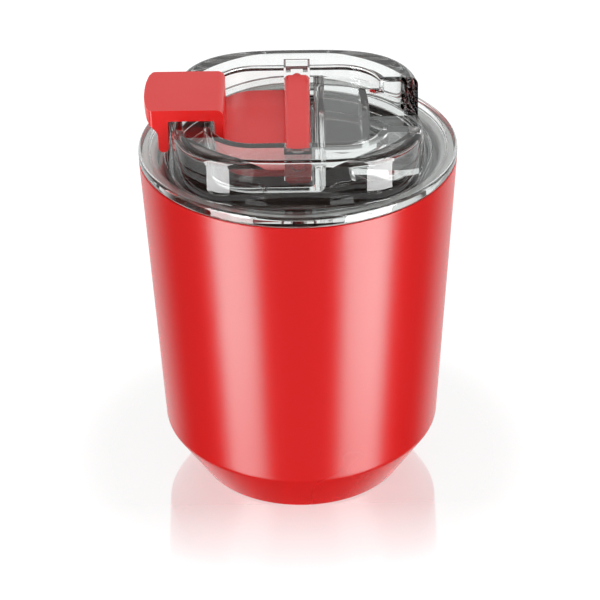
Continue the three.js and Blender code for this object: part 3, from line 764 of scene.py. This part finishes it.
def under_well():
    """The space under the pocket and the platform, rounded at the divider's lower corner."""
    wall_x = DIVIDER_X + DIVIDER_WALL
    low = lid_underside - 1
    side = eased([
        (-rim_radius, low, 0), (rim_radius, low, 0), (rim_radius, ring_top, 0),
        (wall_x, ring_top, 0), (wall_x, pocket_underside, POCKET_CORNER + POCKET_WALL),
        (-rim_radius, pocket_underside, 0)], 10)
    plan = soft_prism(lambda inset: well_outline(inset - LID_WALL - 0.5), low,
                      platform_top - LID_WALL, top=1.0)
    return common(plan, cross_prism(side, rim_radius))


def lid_hollow():
    low = lid_underside - 1
    channel = soft_prism(lambda inset: ring_outline(inset + LID_WALL), low, ring_top - LID_WALL,
                         top=1.2)
    common(channel, prism(circle(skirt_inner), low - 1, ring_top))
    cut(channel, soft_prism(lambda inset: well_outline(inset - LID_WALL), pocket_underside,
                            ring_top, bottom=1.2))
    joined(channel, under_well())
    return cut(channel, recess_prism(LID_WALL, low - 1, ring_top), bearing_boss())


def lid_well():
    """The pocket under the lever, the divider and the drinking platform."""
    over = ring_top + PAST
    wall_x = DIVIDER_X + DIVIDER_WALL
    side = eased([
        (-rim_radius, pocket_floor, 0), (DIVIDER_X, pocket_floor, POCKET_CORNER),
        (DIVIDER_X, divider_top, 0.5), (wall_x, divider_top, 0.3), (wall_x, platform_top, 0.3),
        (rim_radius, platform_top, 0), (rim_radius, over, 0), (-rim_radius, over, 0)], 10)
    layers = [(well_outline(0), pocket_floor - 1)]
    for k in range(7):
        angle = math.pi / 2 * k / 6
        height = ring_top - WELL_EDGE * (1 - math.sin(angle))
        layers.append((well_outline(-WELL_EDGE * (1 - math.cos(angle))), height))
    layers.append((well_outline(-WELL_EDGE), over))
    return common(stacked(layers), cross_prism(side, rim_radius))


def trunnion_slots():
    """Slots down to the hinge, each with a wider and longer mouth."""
    mouth = slot_radius + MOUTH_WIDENING
    over = ring_top + PAST
    bore_shade_colour = arc(0, hinge_z, slot_radius, math.pi, 2 * math.pi, 16)
    slot = cross_prism(bore_shade_colour + [(slot_radius, over), (-slot_radius, over)], slot_reach)
    shelf = ring_top - LID_WALL
    return joined(slot, block(-mouth, mouth, slot_reach + MOUTH_STEP, shelf, over + 1))


def make_lid():
    lid = lid_base()
    joined(lid, ring_block())
    cut(lid, lid_hollow(), lid_well(), recess_prism(0, flange_top, ring_top + PAST),
        trunnion_slots())
    cut(lid, prism(slot_outline(*DRINK_HOLE_HALF), ring_top - 2 * LID_WALL, ring_top + PAST),
        prism(circle(VENT_RADIUS, VENT_X, 32), lid_underside - PAST, pocket_floor + PAST))
    lid.name = "lid_moulding"
    softened(lid, 0.35)
    return dressed(lid, lid_plastic, "lid", "clear_plastic", "lid_body")


def make_gasket():
    """Gasket in the skirt's groove, with two fins that reach for the liner's neck."""
    inner = groove_radius + JOINT_GAP
    body = skirt_radius + 0.5
    fin = neck_radius - JOINT_GAP
    low = groove_bottom + JOINT_GAP
    high = low + GROOVE_WIDTH - 2 * JOINT_GAP
    corners = [(inner, low, 0.2)]
    for start in (low, (low + high) / 2):
        corners += [(body, start, 0.2), (fin, start + 0.8, 0.2), (fin, start + 1.2, 0.2),
                    (body, start + 1.2, 0.3)]
    corners += [(body, high, 0.2), (inner, high, 0.2)]
    piece = turned("skirt_gasket", eased(corners, 4), grey_silicone)
    return dressed(piece, grey_silicone, "lid", "silicone", "lid_gasket")


# ---- Lever ----


def tab_profile():
    """Side view of the tab, the leg down to the plate and the hook outside the ring."""
    radius = HOOK_WALL / 2
    end_z = tab_bottom - HOOK_REACH + radius
    bend_z = tab_bottom - HOOK_REACH / 2
    edge_z = tab_top - TAB_THICKNESS / 3
    points = eased([(leg_inner_x, plate_bottom, 0), (leg_inner_x, tab_top, LEG_EDGE),
                    (tab_outer_x, tab_top, 0.9), (tab_outer_x, edge_z, 0)], 8, closed=False)[:-1]
    start, end = Vector((tab_outer_x, edge_z)), Vector((hook_outer_x, bend_z))
    pull = (Vector((tab_outer_x, tab_bottom - TAB_THICKNESS / 3)),
            Vector((hook_outer_x, bend_z + HOOK_WALL)))
    for k in range(17):
        t = k / 16
        spot = (start * (1 - t) ** 3 + pull[0] * 3 * t * (1 - t) ** 2
                + pull[1] * 3 * t * t * (1 - t) + end * t ** 3)
        points.append((spot.x, spot.y))
    middle = (hook_inner_x + hook_outer_x) / 2
    points += arc(middle, end_z, radius, math.pi, 2 * math.pi, 12)
    underside = eased([(hook_inner_x, end_z, 0), (hook_inner_x, tab_bottom, 0.5),
                       (leg_outer_x, tab_bottom, 0.5), (leg_outer_x, plate_bottom, 0)], 5,
                      closed=False)
    return points + underside[1:]


def tab_plan():
    """Plan of the tab: straight sides, an outer edge that bulges, and round outer corners."""
    edge, half, round_off = tab_outer_x + TAB_BULGE, TAB_HALF_WIDTH, TAB_CORNER
    left = arc(edge + round_off, half - round_off, round_off, math.pi / 2, math.pi, 8)
    across = [half * (1 - k / 12) for k in range(25)]
    bulge = [(edge - TAB_BULGE * (1 - (y / half) ** 2), y)
             for y in across if abs(y) < half - round_off]
    right = [(x, -y) for x, y in reversed(left)]
    return [(leg_inner_x, -half), (leg_inner_x, half)] + left + bulge + right


def plate_outline(inset):
    """Plan of the lever's plate: nearer the well's sides than its swinging end."""
    corner = WELL_CORNER - PLATE_GAP[1]
    return rounded_rectangle(plate_half[0] - inset, plate_half[1] - inset, corner - inset)


def make_lever():
    """The bar with its trunnions, the plate, the tab and the sockets for the silicone pieces."""
    half_height = (bar_top - bar_bottom) / 2
    centre = (0, bar_bottom + half_height)
    bar_side = rounded_rectangle(bar_half_width, half_height, BAR_EDGE, centre, 8)
    lever = cross_prism(bar_side, bar_half_length)
    plate = common(soft_prism(plate_outline, plate_bottom, plate_top, top=0.5),
                   block(-rim_radius, -1, rim_radius, plate_bottom - 1, plate_top + 1))
    tab = common(cross_prism(tab_profile(), TAB_HALF_WIDTH + 1),
                 prism(tab_plan(), plate_bottom - 1, tab_top + 1))
    pin_side = arc(0, hinge_z, TRUNNION_RADIUS, 0, 2 * math.pi, 32)[:-1]
    joined(lever, plate, tab, cross_prism(pin_side, trunnion_end))
    socket_half = (1.5, DRINK_HOLE_HALF[1] - 1.5)
    pad_radius, pad_depth = PAD_SOCKET
    cut(lever, prism(slot_outline(*socket_half), tab_bottom - 1, tab_bottom + STOPPER_SOCKET_DEPTH),
        prism(circle(pad_radius, VENT_X, 32), plate_bottom - 1, plate_bottom + pad_depth))
    lever.name = "lever_moulding"
    softened(lever, 0.55, 35)
    return dressed(lever, red_plastic, "lever", "red_plastic", "flip_lever")


def make_stopper():
    """Silicone stopper with its collar and the stem that holds it in the tab."""
    collar_top = tab_bottom - JOINT_GAP
    collar_low = ring_top + 0.2
    plug_half = (DRINK_HOLE_HALF[0] - 0.5, DRINK_HOLE_HALF[1] - 0.5)
    plug = soft_prism(lambda inset: slot_outline(plug_half[0] - inset, plug_half[1] - inset),
                      ring_top - 2.7, collar_top - 0.05, bottom=0.6)
    collar = soft_prism(lambda inset: slot_outline(plug_half[0] + 1.2 - inset,
                                                   plug_half[1] + 1.2 - inset),
                        collar_low, collar_top, top=0.15, bottom=0.15, steps=4)
    stem = prism(slot_outline(1.2, DRINK_HOLE_HALF[1] - 1.8), collar_low + 0.1, tab_bottom + 1.4)
    piece = joined(collar, plug, stem)
    piece.name = "spout_stopper"
    softened(piece, 0.1, 40, 2)
    return dressed(piece, grey_silicone, "lever", "silicone", "drink_stopper")


def make_vent_pad():
    """Silicone pad over the vent hole, with a stem that holds it in the plate."""
    low = pocket_floor + JOINT_GAP
    high = plate_bottom - JOINT_GAP
    outline = eased([(0, low, 0), (2.6, low, 0.4), (3.8, low + 1.2, 0.5), (3.8, high, 0.3),
                     (1.5, high, 0.2), (1.5, plate_bottom + 1.2, 0.3),
                     (0, plate_bottom + 1.2, 0)], 5, closed=False)
    piece = turned("vent_seal", outline, grey_silicone, 48, VENT_X)
    return dressed(piece, grey_silicone, "lever", "silicone", "vent_pad")


make_shell()
make_liner()
make_lid()
make_gasket()
make_lever()
make_stopper()
make_vent_pad()

for node, finish in (("heat_shield_foil", bright_foil), ("getter", pressed_steel),
                     ("base_plate", pressed_steel), ("vacuum_seal", glass_bead),
                     ("base_cap", cap_steel)):
    kept = frame["nodes"][node]
    kept.data.materials.clear()
    kept.data.materials.append(finish)

# ---- Studio: places in metres, the viewer's side at -Y ----

TABLE_REACH = 4.0
TABLE_DROP = 0.0002  # below the cup's foot
TABLE_GLOW = 0.95
MIRROR_SHARE = 0.44
MIRROR_FADE = (-0.071, -0.028)  # along Y, from no mirror to the full share
MIRROR_RADIUS = (0.055, 0.085)  # from the full share to no mirror
CARD_DISTANCE = 1.0
CARD_SPAN = (-1.7, 1.1)  # lower and upper edge
CARD_GLOW = 9.2
CARD_FADE = (-0.86, -0.62)  # heights between which a card gets brighter
CARD_SHARES = (0.62, 1.3)
ROOM_GLOW = 0.78
ROOM_FRONT = (0.046, 0.028, 0.023, 1)
ROOM_BACK = (0.92, 0.945, 0.935, 1)
ROOM_TURN = (0.25, 0.7)  # from the dark front to the bright back


def studio_floor():
    """A white table that mirrors the cup faintly just in front of it."""
    work = bmesh.new()
    signs = ((-1, -1), (1, -1), (1, 1), (-1, 1))
    work.faces.new([work.verts.new((x * TABLE_REACH, y * TABLE_REACH, -TABLE_DROP))
                    for x, y in signs])
    mesh = bpy.data.meshes.new("floor")
    work.to_mesh(mesh)
    work.free()
    floor = new_object("floor", mesh)
    material, shader = material_with("white table", Base_Color=(0.2, 0.2, 0.2, 1),
                                     Roughness=0.9, Specular_IOR_Level=0.0,
                                     Emission_Color=(1, 1, 1, 1), Emission_Strength=TABLE_GLOW)
    nodes, links = material.node_tree.nodes, material.node_tree.links
    place = nodes.new("ShaderNodeTexCoord")
    parts = nodes.new("ShaderNodeSeparateXYZ")
    fade = ranged(nodes, *MIRROR_FADE, 0.0, MIRROR_SHARE)
    away = nodes.new("ShaderNodeVectorMath")
    away.operation = "LENGTH"
    near = ranged(nodes, *MIRROR_RADIUS, 1.0, 0.0)
    near.interpolation_type = "SMOOTHSTEP"
    shown = nodes.new("ShaderNodeMath")
    shown.operation = "MULTIPLY"
    mirror = nodes.new("ShaderNodeBsdfGlossy")
    mirror.inputs["Roughness"].default_value = 0.06
    both = nodes.new("ShaderNodeMixShader")
    links.new(place.outputs["Object"], parts.inputs["Vector"])
    links.new(place.outputs["Object"], away.inputs[0])
    links.new(away.outputs["Value"], near.inputs["Value"])
    links.new(parts.outputs["Y"], fade.inputs["Value"])
    links.new(fade.outputs["Result"], shown.inputs[0])
    links.new(near.outputs["Result"], shown.inputs[1])
    links.new(shown.outputs["Value"], both.inputs["Fac"])
    links.new(shader.outputs["BSDF"], both.inputs[1])
    links.new(mirror.outputs["BSDF"], both.inputs[2])
    links.new(both.outputs["Shader"], nodes["Material Output"].inputs["Surface"])
    floor.data.materials.append(material)
    floor.visible_glossy = False


def reflection_card(name, bearing, width):
    """A tall glowing card at a bearing from the front, seen only in reflections."""
    low, high = CARD_SPAN
    out = Vector((math.sin(math.radians(bearing)), -math.cos(math.radians(bearing)), 0))
    side = Vector((-out.y, out.x, 0)) * width / 2
    work = bmesh.new()
    corners = [out * CARD_DISTANCE + side * a + Vector((0, 0, z))
               for a, z in ((-1, low), (1, low), (1, high), (-1, high))]
    work.faces.new([work.verts.new(c) for c in corners])
    mesh = bpy.data.meshes.new(name)
    work.to_mesh(mesh)
    work.free()
    card = new_object(name, mesh)
    material = bpy.data.materials.new(name + " glow")
    material.use_nodes = True
    nodes, links = material.node_tree.nodes, material.node_tree.links
    nodes.clear()
    place = nodes.new("ShaderNodeTexCoord")
    parts = nodes.new("ShaderNodeSeparateXYZ")
    falling = ranged(nodes, *CARD_FADE, *(CARD_GLOW * share for share in CARD_SHARES))
    glow = nodes.new("ShaderNodeEmission")
    surface = nodes.new("ShaderNodeOutputMaterial")
    links.new(place.outputs["Object"], parts.inputs["Vector"])
    links.new(parts.outputs["Z"], falling.inputs["Value"])
    links.new(falling.outputs["Result"], glow.inputs["Strength"])
    links.new(glow.outputs["Emission"], surface.inputs["Surface"])
    material.cycles.emission_sampling = "NONE"
    card.data.materials.append(material)
    card.visible_camera = False
    card.visible_diffuse = False
    card.visible_transmission = False
    card.visible_shadow = False


def soft_light(name, place, size, power):
    data = bpy.data.lights.new(name, "AREA")
    data.shape = "RECTANGLE"
    data.size, data.size_y = size
    data.energy = power
    light = bpy.data.objects.new(name, data)
    light.location = place
    light.rotation_euler = (Vector((0, 0, 0.05)) - Vector(place)).to_track_quat("-Z", "Y").to_euler()
    light.visible_camera = False
    light.visible_glossy = False
    bpy.context.scene.collection.objects.link(light)


def studio_world():
    """A white room: even light on matt faces, a bright back and a dark front in gloss."""
    world = bpy.data.worlds.new("white studio")
    world.use_nodes = True
    nodes, links = world.node_tree.nodes, world.node_tree.links
    even = nodes["Background"]
    even.inputs["Color"].default_value = (1, 1, 1, 1)
    even.inputs["Strength"].default_value = ROOM_GLOW
    place = nodes.new("ShaderNodeTexCoord")
    parts = nodes.new("ShaderNodeSeparateXYZ")
    deep = ranged(nodes, *ROOM_TURN, 0.0, 1.0)
    deep.interpolation_type = "SMOOTHSTEP"
    tone = nodes.new("ShaderNodeMix")
    tone.data_type = "RGBA"
    tone.inputs["A"].default_value = ROOM_FRONT
    tone.inputs["B"].default_value = ROOM_BACK
    room = nodes.new("ShaderNodeBackground")
    path = nodes.new("ShaderNodeLightPath")
    sharp = nodes.new("ShaderNodeMath")
    sharp.operation = "MAXIMUM"
    pick = nodes.new("ShaderNodeMixShader")
    links.new(place.outputs["Object"], parts.inputs["Vector"])
    links.new(parts.outputs["Y"], deep.inputs["Value"])
    links.new(deep.outputs["Result"], tone.inputs["Factor"])
    links.new(tone.outputs["Result"], room.inputs["Color"])
    links.new(path.outputs["Is Glossy Ray"], sharp.inputs[0])
    links.new(path.outputs["Is Transmission Ray"], sharp.inputs[1])
    links.new(sharp.outputs["Value"], pick.inputs["Fac"])
    links.new(even.outputs["Background"], pick.inputs[1])
    links.new(room.outputs["Background"], pick.inputs[2])
    links.new(pick.outputs["Shader"], nodes["World Output"].inputs["Surface"])
    bpy.context.scene.world = world


def studio_camera():
    """Camera in front of the cup and above it, looking down a little more than thirty degrees."""
    distance, height = 0.65406, 0.44146
    pitch, roll = 0.5372, -0.0142
    data = bpy.data.cameras.new("camera")
    data.sensor_width = 36.0
    data.lens = 156.26
    data.clip_start = 0.01
    camera = bpy.data.objects.new("camera", data)
    ahead = Vector((0, math.cos(pitch), -math.sin(pitch)))
    right = Vector((1, 0, 0))
    up = right.cross(ahead)
    level = right * math.cos(roll) + up * math.sin(roll)
    upright = up * math.cos(roll) - right * math.sin(roll)
    turn = Matrix((level, upright, -ahead)).transposed().to_4x4()
    camera.matrix_world = Matrix.Translation((0, -distance, height)) @ turn
    bpy.context.scene.collection.objects.link(camera)
    bpy.context.scene.camera = camera


studio_floor()
reflection_card("left card", -48.5, 0.58)
reflection_card("right card", 50.5, 0.66)
soft_light("left light", (-1.0, -1.2, 0.7), (0.8, 1.2), 5)
soft_light("right light", (1.1, -1.2, 0.7), (0.8, 1.2), 7)
studio_world()
studio_camera()
bpy.context.scene.view_settings.view_transform = "Standard"
bpy.context.scene.cycles.max_bounces = 20
bpy.context.scene.cycles.transmission_bounces = 20
bpy.context.scene.cycles.glossy_bounces = 12
